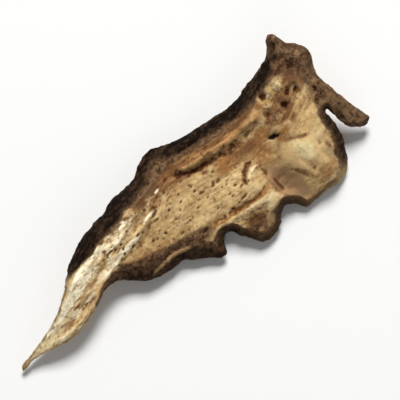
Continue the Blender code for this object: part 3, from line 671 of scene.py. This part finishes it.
def slice_mesh(shape):
    """The two sides joined at the rim: points, triangles and what each point lies on."""
    upper, upper_faces = sheet(shape, shape.upper_width, FACE_SPACING)
    under, under_faces = sheet(shape, shape.under_width, UNDER_SPACING)
    count = len(shape.rim)
    taken, nearest, share = shape.wall(upper, shape.drop, shape.upper_width)
    added, nearest_under, share_under = shape.wall(under, shape.lift, shape.under_width)
    height = shape.face(upper) - taken
    height_under = np.maximum(shape.under_face(under) + added, 0.0)
    height[:count] = height_under[:count] = np.maximum(
        shape.under_face(shape.rim) + shape.lift, 0.0)
    shifted = np.where(under_faces < count, under_faces, under_faces + len(upper) - count)
    width = shape.upper_width[nearest]
    width_under = shape.under_width[nearest_under][count:]
    flat = np.concatenate([upper, under[count:]])
    return {
        "flat": flat,
        "flow": flow_coordinates(flat),
        "height": np.concatenate([height, height_under[count:]]),
        "faces": np.concatenate([upper_faces, shifted[:, ::-1]]),
        "on_top": np.arange(len(flat)) < len(upper),
        "share": np.concatenate([share, share_under[count:]]),
        "nearest": np.concatenate([nearest, nearest_under[count:]]),
        "across": np.concatenate([share * width, -share_under[count:] * width_under]),
    }


def flow_coordinates(points):
    """Places along and across the grain, which narrows to the tail and fans out at the bulge."""
    low = np.interp(points[:, 0], *zip(*GRAIN_LOW))
    high = np.interp(points[:, 0], *zip(*GRAIN_HIGH))
    across = GRAIN_WIDTH * (points[:, 1] - low) / (high - low)
    return np.column_stack([points[:, 0], across])


def bark_cover(shape, parts):
    """How much bark covers each point: all of it on the wall, with a torn edge at the crest."""
    torn = noise_values(parts["flat"], (0.6, 0.9), seed=11.0, octaves=4)
    uneven = noise_values(parts["flat"], (0.28, 0.28), seed=12.0)
    bark = shape.bark[parts["nearest"]]
    thin = np.minimum(4.0 * (1.0 - bark), 1.0)
    edge = parts["share"] + BARK_TORN * torn + BARK_UNEVEN * uneven * thin
    return bark * (1.0 - smooth_step(*BARK_END, edge))


def dark_bark_and_shade_cover(shape, parts):
    """How dark the bark is, from dark bark and painted shade: most at the wall's foot, less towards its
    crest.
    """
    return shape.dark_bark_and_shade[parts["nearest"]] * (1.0 - smooth_step(*DARK_BARK_AND_SHADE_END, parts["share"]))


def patch_cover(points, x, y, length, width, turn, strength):
    """How strongly an oval patch covers each point."""
    away = points - (x, y)
    cosine = math.cos(math.radians(turn))
    sine = math.sin(math.radians(turn))
    down = (away[:, 0] * cosine + away[:, 1] * sine) / length
    side = (-away[:, 0] * sine + away[:, 1] * cosine) / width
    return strength * np.exp(-(down ** 2 + side ** 2) ** 1.5)


def pigment_covers(points):
    """How strongly each pigment and mask of the upper face covers each point."""
    shift = PATCH_WANDER * wander(points, 0.7, seeds=(21.0, 22.0))
    covers = {name: np.zeros(len(points)) for name in (*COLOUR_LINES, *COLOUR_PATCHES)}
    for name, strokes in COLOUR_LINES.items():
        for line, *widths, strength in strokes:
            stroke = stroke_height(points + LINE_SHARE * shift, line, *widths, 1.0, strength)
            covers[name] = np.maximum(covers[name], stroke)
    for name, patches in COLOUR_PATCHES.items():
        for patch in patches:
            covers[name] = np.maximum(covers[name], patch_cover(points + shift, *patch))
    return covers


def pore_pits(points):
    """Depth of the pores: those listed, and more strewn over the cut face."""
    random = np.random.default_rng(5)
    strewn = np.column_stack([random.uniform(*reach, STREWN_PORES) for reach in STREWN_AREA])
    depth = np.zeros(len(points))
    for place in np.concatenate([np.array(PORES), strewn]):
        radius = PORE_RADIUS * random.uniform(0.6, 1.2)
        near = np.abs(points - place).max(axis=1) < 4.0 * radius
        away = (points[near] - place) / (radius * PORE_LENGTH, radius)
        depth[near] += PORE_DEPTH * random.uniform(0.4, 1.0) * np.exp(-(away ** 2).sum(axis=1))
    return depth


def bark_relief(shape, parts):
    """Wrinkles of the bark, long along the rim and narrow across it, in millimetres."""
    turn = shape.along[parts["nearest"]] / shape.along[-1] * 2.0 * math.pi
    ring = shape.along[-1] / (2.0 * math.pi)
    across = parts["across"] + 0.5 * noise_values(parts["flat"], (0.35, 0.35), seed=31.0)
    relief = []
    for t, c in zip(turn, across):
        x, y = ring * math.cos(t), ring * math.sin(t)
        wave = noise.noise(Vector((x * 0.35, y * 0.35, c * 0.9)))
        rough = noise.fractal(Vector((x * 0.9, y * 0.9, c * 1.3)), 0.8, 2.1, 4)
        folds = 1.0 - FOLD_SHARPNESS * abs(wave)
        relief.append(FOLD_HEIGHT * folds + ROUGH_HEIGHT * rough - BARK_SINK)
    return np.array(relief)


def face_relief(parts, mottled, smooth):
    """Fibres and unevenness of the cut faces, in millimetres: rougher where it is mottled."""
    fibres = noise_values(parts["flow"], (0.3, 2.0), seed=41.0, octaves=4)
    lumps = noise_values(parts["flat"], (0.45, 0.65), seed=42.0, octaves=3)
    grain = noise_values(parts["flat"], (1.8, 2.4), seed=43.0, octaves=3)
    rough = noise_values(parts["flat"], (0.6, 0.8), seed=44.0, octaves=2)
    even = 1.0 - SMOOTH_CALM * np.minimum(smooth, 1.0)
    relief = even * (FIBRE_HEIGHT * fibres + UNEVEN_HEIGHT * lumps + GRAIN_HEIGHT * grain)
    return relief + MOTTLE_HEIGHT * mottled * rough - FACE_SINK


def add_attribute(mesh, name, values):
    """Stores one number for each vertex under a name that the material reads."""
    attribute = mesh.attributes.new(name, "FLOAT", "POINT")
    attribute.data.foreach_set("value", np.asarray(values, dtype=np.float32))


def add_vectors(mesh, name, values):
    """Stores one vector for each vertex under a name that the material reads."""
    attribute = mesh.attributes.new(name, "FLOAT_VECTOR", "POINT")
    attribute.data.foreach_set("vector", np.asarray(values, dtype=np.float32).ravel())


def surface_masks(shape, parts):
    """What covers each point: the pigments, only on the upper face, bark, and dark bark with painted
    shade.
    """
    masks = {name: np.where(parts["on_top"], cover, 0.0)
             for name, cover in pigment_covers(parts["flat"]).items()}
    bark = np.maximum(bark_cover(shape, parts), masks["hide_and_shade"])
    masks["bark"] = bark * (1.0 - np.minimum(masks["bare"], 1.0))
    masks["dark_bark_and_shade"] = dark_bark_and_shade_cover(shape, parts)
    return masks


def relief_heights(shape, parts, masks, pores):
    """How far relief moves each point outwards, in millimetres. It fades out at the ground."""
    cut_face = face_relief(parts, masks["mottled"], masks["smooth"])
    bark = masks["bark"]
    relief = bark * bark_relief(shape, parts) + (1.0 - bark) * cut_face - pores
    return relief * np.where(parts["on_top"], 1.0, smooth_step(0.0, GROUND_FADE, parts["height"]))


def vertex_normals(mesh):
    """The mesh's normal at each vertex."""
    mesh.update()
    normals = np.zeros(len(mesh.vertices) * 3)
    mesh.vertices.foreach_get("normal", normals)
    return normals.reshape(-1, 3)


def root_slice_piece():
    """The whole slice as one fine mesh with its relief and its colour masks."""
    shape = Slice()
    parts = slice_mesh(shape)
    masks = surface_masks(shape, parts)
    open_face = parts["on_top"] & (masks["bark"] < 0.3)
    pores = np.where(open_face, pore_pits(parts["flat"]), 0.0)
    flat = (parts["flat"] - shape.middle) * shape.scale
    places = np.column_stack([flat, parts["height"] * shape.scale])
    mesh = bpy.data.meshes.new("root_slice_fine")
    mesh.from_pydata(places.tolist(), [], parts["faces"].tolist())
    relief = relief_heights(shape, parts, masks, pores)
    places += vertex_normals(mesh) * (relief * MM)[:, None]
    places[:, 2] = np.maximum(places[:, 2], 0.0)
    mesh.vertices.foreach_set("co", places.ravel())
    fine, wide = cavities(places / MM, parts["faces"], vertex_normals(mesh), HOLLOW_ROUNDS)
    masks["pore"] = smooth_step(0.02, 0.12, pores)
    masks["cavity_fine"] = 0.5 + fine / FINE_HOLLOW
    masks["cavity_wide"] = 0.5 + wide / WIDE_HOLLOW
    for name, values in masks.items():
        add_attribute(mesh, name, values)
    add_vectors(mesh, "flow", np.column_stack([parts["flow"], parts["height"]]))
    mesh.shade_smooth()
    piece = bpy.data.objects.new("dong_quai_root", mesh)
    bpy.context.scene.collection.objects.link(piece)
    return piece


class Nodes:
    """Short calls for building a material's node tree."""

    def __init__(self, material):
        self.tree = material.node_tree
        self.shader = self.tree.nodes["Principled BSDF"]

    def add(self, kind, **settings):
        node = self.tree.nodes.new(kind)
        for name, value in settings.items():
            setattr(node, name, value)
        return node

    def link(self, source, target):
        self.tree.links.new(source, target)

    def attribute(self, name):
        return self.add("ShaderNodeAttribute", attribute_name=name).outputs["Fac"]

    def noise(self, vector, scale, detail=4.0, roughness=0.6):
        node = self.add("ShaderNodeTexNoise")
        node.inputs["Scale"].default_value = scale
        node.inputs["Detail"].default_value = detail
        node.inputs["Roughness"].default_value = roughness
        self.link(vector, node.inputs["Vector"])
        return node.outputs["Fac"]

    def stretch(self, vector, scale):
        node = self.add("ShaderNodeMapping")
        node.inputs["Scale"].default_value = scale
        self.link(vector, node.inputs["Vector"])
        return node.outputs["Vector"]

    def math(self, operation, first, second):
        node = self.add("ShaderNodeMath", operation=operation)
        for socket, value in zip(node.inputs, (first, second)):
            if isinstance(value, (int, float)):
                socket.default_value = value
            else:
                self.link(value, socket)
        return node.outputs["Value"]

    def ramp(self, value, low, high, out_low=0.0, out_high=1.0):
        node = self.add("ShaderNodeMapRange", interpolation_type="SMOOTHSTEP")
        self.link(value, node.inputs["Value"])
        for name, number in zip(("From Min", "From Max", "To Min", "To Max"),
                                (low, high, out_low, out_high)):
            node.inputs[name].default_value = number
        return node.outputs["Result"]

    def blend(self, factor, first, second, kind="MIX"):
        node = self.add("ShaderNodeMix", data_type="RGBA", blend_type=kind)
        self.link(factor, node.inputs["Factor"])
        for name, value in (("A", first), ("B", second)):
            socket = [s for s in node.inputs if s.name == name and s.type == "RGBA"][0]
            if isinstance(value, tuple):
                socket.default_value = value
            else:
                self.link(value, socket)
        return [s for s in node.outputs if s.type == "RGBA"][0]


def torn_mask(nodes, name, grain, spread, low, high):
    """The cover of a pigment or mask with its edge broken up by grain."""
    uneven = nodes.math("MULTIPLY", nodes.math("SUBTRACT", grain, 0.5), spread)
    return nodes.ramp(nodes.math("ADD", nodes.attribute(name), uneven), low, high)


def pigmented(nodes, colour, grains, pigments):
    """Lays pigments on: name, grain at its edge, its spread, cover where it starts and is full."""
    for name, grain, spread, low, high in pigments:
        mask = torn_mask(nodes, name, grains[grain], spread, low, high)
        colour = nodes.blend(mask, colour, COLOURS[name])
    return colour


def tinted(nodes, colour, grains, tints, mask=None):
    """Lays tints on: grain, its values where a tint starts and is full, strength, colour."""
    for grain, start, full, strength, name in tints:
        cover = nodes.ramp(grains[grain], start, full, 0.0, strength)
        if mask is not None:
            cover = nodes.math("MULTIPLY", mask, cover)
        colour = nodes.blend(cover, colour, COLOURS[name])
    return colour


def cut_face_colour(nodes, grains):
    """The tan cut face with its streaks, blotches and pigments."""
    # The cavity tint paints a cream highlight on crests and edges.
    colour = tinted(nodes, COLOURS["tan dark"], grains, (
        ("blotch", 0.36, 0.62, 1.0, "tan"), ("fibre", 0.46, 0.68, 0.35, "cream"),
        ("fibre", 0.46, 0.3, 0.35, "stain_and_shade"), ("patch", 0.54, 0.74, 0.35, "warm"),
        ("grain", 0.58, 0.72, 0.35, "cream"), ("cavity", 0.25, -0.5, 0.4, "cream"),
        ("mote", 0.54, 0.68, 0.35, "cream")))
    colour = pigmented(nodes, colour, grains, (
        ("honey", "streak", 1.3, 0.2, 0.95), ("cream", "streak", 1.3, 0.2, 0.95),
        ("warm", "patch", 1.2, 0.25, 0.85), ("stain_and_shade", "patch", 1.4, 0.28, 0.9),
        ("amber", "fibre", 2.2, 0.25, 0.95), ("butter", "patch", 1.0, 0.2, 1.00),
        ("mauve", "strand", 0.6, 0.35, 0.7), ("grey", "patch", 1.2, 0.3, 0.8),
        ("pale", "streak", 2.0, 0.3, 0.95)))
    stain_and_shade_cover = nodes.ramp(nodes.attribute("stain_and_shade"), 0.2, 0.8)
    flecks = (("fibre", 0.5, 0.64, 0.6, "amber"), ("patch", 0.47, 0.36, 0.6, "umber"))
    colour = tinted(nodes, colour, grains, flecks, stain_and_shade_cover)
    striped = nodes.ramp(nodes.attribute("striped"), 0.0, 0.8)
    stripes = (("stripe", 0.46, 0.37, 0.65, "warm"), ("stripe", 0.51, 0.62, 0.65, "pale"))
    colour = tinted(nodes, colour, grains, stripes, striped)
    smooth = nodes.ramp(nodes.attribute("smooth"), 0.0, 1.0)
    rough = nodes.math("SUBTRACT", 1.0, smooth)
    colour = tinted(nodes, colour, grains, [("strand", 0.48, 0.36, 0.2, "warm")], smooth)
    colour = tinted(nodes, colour, grains, [("mote", 0.46, 0.34, 0.35, "umber")], rough)
    mottles = torn_mask(nodes, "mottled", grains["mote"], 3.4, 0.45, 1.05)
    colour = nodes.blend(nodes.math("MULTIPLY", mottles, 0.7), colour, COLOURS["umber"])
    return tinted(nodes, colour, grains, [("dash", 0.4, 0.28, 0.5, "umber")], rough)


def bark_colour(nodes, grains):
    """Brown bark: painted shade in cracks, dust and painted highlight on folds, dark bark and painted
    shade at the wall's foot.
    """
    colour = tinted(nodes, COLOURS["bark low"], grains, (
        ("patch", 0.4, 0.6, 1.0, "bark"), ("mote", 0.5, 0.62, 0.65, "dust_and_sheen"),
        ("mote", 0.48, 0.38, 0.8, "umber"), ("grain", 0.54, 0.7, 0.3, "dust_and_sheen")))
    strip = nodes.ramp(nodes.attribute("strip"), 0.0, 0.6)
    no_strip = nodes.math("SUBTRACT", 1.0, strip)
    colour = tinted(nodes, colour, grains, [("strand", 0.48, 0.62, 0.4, "dust_and_sheen")], strip)
    colour = tinted(nodes, colour, grains, [("streak", 0.47, 0.36, 0.8, "umber")], no_strip)
    # Fold crests get dust with a painted highlight, and cracks get painted shade.
    cracks = (("cavity", 0.3, -0.2, 0.35, "dust_and_sheen"), ("cavity", 0.8, 2.0, 0.5, "dark"))
    colour = tinted(nodes, colour, grains, cracks)
    # Dark bark and painted shade, thinned where the streaks run.
    dark_bark_and_shade = torn_mask(nodes, "dark_bark_and_shade", grains["mote"], 1.2, 0.1, 0.8)
    worn = nodes.ramp(grains["streak"], 0.45, 0.6, 1.0, 0.75)
    return nodes.blend(nodes.math("MULTIPLY", dark_bark_and_shade, worn), colour, COLOURS["dark_bark_and_shade"])


def material_grains(nodes):
    """The grain textures, and the depth of fine hollows, which tints follow like a grain."""
    place = nodes.stretch(nodes.add("ShaderNodeTexCoord").outputs["Object"], (1 / MM,) * 3)
    flow = nodes.add("ShaderNodeAttribute", attribute_name="flow").outputs["Vector"]
    grains = {
        "fibre": nodes.noise(nodes.stretch(flow, (0.22, 2.0, 0.6)), 1.0, 6.0),
        "strand": nodes.noise(nodes.stretch(place, (3.0, 0.5, 1.0)), 1.0, 4.0),
        "dash": nodes.noise(nodes.stretch(flow, (1.3, 4.6, 1.5)), 1.0, 3.0, 0.5),
        "blotch": nodes.noise(nodes.stretch(place, (0.8, 1.2, 1.0)), 0.55, 5.0),
        "patch": nodes.noise(nodes.stretch(place, (1.0, 1.4, 1.0)), 1.1, 6.0, 0.65),
        "grain": nodes.noise(nodes.stretch(place, (1.0, 1.4, 1.0)), 3.0, 4.0, 0.65),
        "stripe": nodes.noise(nodes.stretch(place, (0.5, 1.6, 1.0)), 1.0, 5.0),
        "mote": nodes.noise(place, 1.6, 3.0),
        "cavity": nodes.attribute("cavity_fine"),
    }
    both = nodes.math("ADD", grains["fibre"], grains["patch"])
    grains["streak"] = nodes.math("MULTIPLY", both, 0.5)
    return grains


def root_material():
    """Cut face and bark in one material. The masks say where each colour lies."""
    material = bpy.data.materials.new("root")
    material.use_nodes = True
    nodes = Nodes(material)
    grains = material_grains(nodes)
    bark_mask = torn_mask(nodes, "bark", grains["patch"], 0.7, 0.2, 0.8)
    colour = nodes.blend(bark_mask, cut_face_colour(nodes, grains), bark_colour(nodes, grains))
    worn = (("scuff", "grain", 1.2, 0.3, 0.8), ("rust", "grain", 1.0, 0.3, 0.9))
    colour = pigmented(nodes, colour, grains, worn)
    # Painted shade: the fine and wide hollows are darkened with the shade colour.
    for name, start, full, strength in (("fine", 0.65, 1.4, 0.8), ("wide", 0.6, 1.6, 0.9)):
        hollow = nodes.ramp(nodes.attribute("cavity_" + name), start, full, 0.0, strength)
        colour = nodes.blend(hollow, colour, COLOURS["shade"], "MULTIPLY")
    # Dark marks, mostly painted shade, laid on last.
    colour = pigmented(nodes, colour, grains, [("dark", "grain", 1.6, 0.35, 1.0)])
    pores = nodes.math("MULTIPLY", nodes.attribute("pore"), nodes.ramp(grains["patch"], 0.25, 0.5))
    colour = nodes.blend(pores, colour, COLOURS["umber"])
    shader = nodes.shader.inputs
    nodes.link(colour, shader["Base Color"])
    nodes.link(nodes.ramp(grains["blotch"], 0.3, 0.7, 0.72, 0.92), shader["Roughness"])
    shader["Specular IOR Level"].default_value = 0.04
    bump = nodes.add("ShaderNodeBump")
    bump.inputs["Strength"].default_value = 0.8
    bump.inputs["Distance"].default_value = 0.1 * MM
    nodes.link(nodes.math("ADD", grains["grain"], grains["streak"]), bump.inputs["Height"])
    nodes.link(bump.outputs["Normal"], shader["Normal"])
    return material


def floor_material():
    """One even, matt colour."""
    material = bpy.data.materials.new("floor")
    material.use_nodes = True
    shader = material.node_tree.nodes["Principled BSDF"]
    shader.inputs["Base Color"].default_value = COLOURS["floor"]
    shader.inputs["Roughness"].default_value = 0.9
    shader.inputs["Specular IOR Level"].default_value = 0.1
    return material


def add_floor():
    """A plain pale floor just under the slice."""
    mesh = bpy.data.meshes.new("floor")
    signs = ((-1, -1), (1, -1), (1, 1), (-1, 1))
    corners = [(x * FLOOR_HALF, y * FLOOR_HALF, 0.0) for x, y in signs]
    mesh.from_pydata(corners, [], [(0, 1, 2, 3)])
    floor = bpy.data.objects.new("floor", mesh)
    floor.location.z = -FLOOR_DROP
    mesh.materials.append(floor_material())
    bpy.context.scene.collection.objects.link(floor)


def add_camera():
    """Looks straight down, as the photograph does, and fills the picture with the slice."""
    data = bpy.data.cameras.new("camera")
    data.sensor_width = SENSOR_WIDTH
    data.lens = SENSOR_WIDTH * CAMERA_HEIGHT / VIEW_WIDTH
    data.clip_start = 0.01
    camera = bpy.data.objects.new("camera", data)
    camera.location = (*VIEW_MIDDLE, CAMERA_HEIGHT)
    camera.rotation_euler = (0.0, 0.0, math.radians(CAMERA_ROLL))
    bpy.context.scene.collection.objects.link(camera)
    bpy.context.scene.camera = camera


def add_light(name, direction, distance, size, power):
    """A square soft light that points at the slice."""
    data = bpy.data.lights.new(name, "AREA")
    data.size = size
    data.energy = power
    light = bpy.data.objects.new(name, data)
    way = Vector(direction).normalized()
    light.location = way * distance
    light.rotation_euler = way.to_track_quat("Z", "Y").to_euler()
    bpy.context.scene.collection.objects.link(light)


def add_lights():
    """A soft key from over the crown, a weak fill, and a pale sky."""
    for light in LIGHTS:
        add_light(*light)
    world = bpy.data.worlds.new("studio")
    world.use_nodes = True
    background = world.node_tree.nodes["Background"]
    background.inputs["Color"].default_value = (1.0, 1.0, 1.0, 1.0)
    background.inputs["Strength"].default_value = SKY_STRENGTH
    bpy.context.scene.world = world


piece = root_slice_piece()
piece.data.materials.append(root_material())
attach(piece, "root")
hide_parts("root_slice")
add_floor()
add_camera()
add_lights()
bpy.context.scene.view_settings.view_transform = "Standard"
